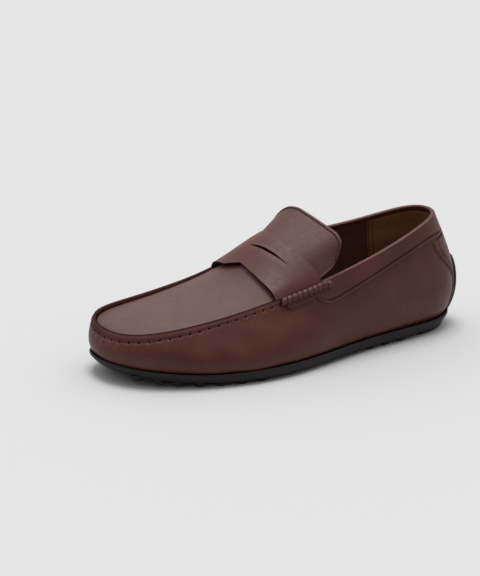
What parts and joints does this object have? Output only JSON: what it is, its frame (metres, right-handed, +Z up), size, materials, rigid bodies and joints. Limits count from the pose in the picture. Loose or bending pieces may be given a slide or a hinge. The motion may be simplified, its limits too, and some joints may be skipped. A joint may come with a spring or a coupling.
{
  "type": "moccasin",
  "caption": "Low leather slip-on shoe with a raised U-shaped apron seam, a slotted saddle strap between rolled seams, a loose tongue and a studded rubber sole.",
  "frame": {"origin": "centre of the shoe's bounding box in plan, on the ground", "axes": "+Z up, +Y towards the heel, -Y towards the toe, +X towards the outer (lateral) side of this left shoe"},
  "size_m": [0.1031, 0.2876, 0.099],
  "materials": {
    "rubber": "matt black moulded rubber",
    "smooth_leather": "smooth brown leather, soft sheen",
    "grained_leather": "brown leather with a fine embossed grain",
    "dark_lining": "dark brown lining leather",
    "suede_lining": "tan suede",
    "stiffener": "thin heel stiffener sheet",
    "fibreboard": "flexible fibre insole board",
    "foam": "soft foam",
    "thread": "waxed dark brown thread"
  },
  "bodies": {
    "upper": {"outsole": "rubber", "wrapper": "smooth_leather", "insole_board": "fibreboard", "footbed_foam": "foam", "sock_liner": "dark_lining", "heel_counter": "stiffener", "heel_lining": "suede_lining", "backstay": "smooth_leather", "topline_collar": "smooth_leather", "quarter_lining_lateral": "dark_lining", "quarter_lining_medial": "dark_lining", "vamp_lining": "dark_lining", "apron": "grained_leather", "saddle_strap": "smooth_leather", "beef_roll_lateral": "smooth_leather", "beef_roll_medial": "smooth_leather", "roll_stitching_lateral": "thread", "roll_stitching_medial": "thread", "apron_stitching": "thread", "collar_stitching": "thread", "backstay_stitching": "thread"},
    "tongue_body": {"tongue": "grained_leather", "tongue_facing": "dark_lining", "tongue_stitching": "thread"}
  },
  "joints": [
    {"name": "tongue_flex", "type": "hinge", "parent": "upper", "child": "tongue_body", "pos_m": [0, 0.0015, 0.08], "axis": [1, 0, 0], "range_deg": [0, 30]}
  ]
}
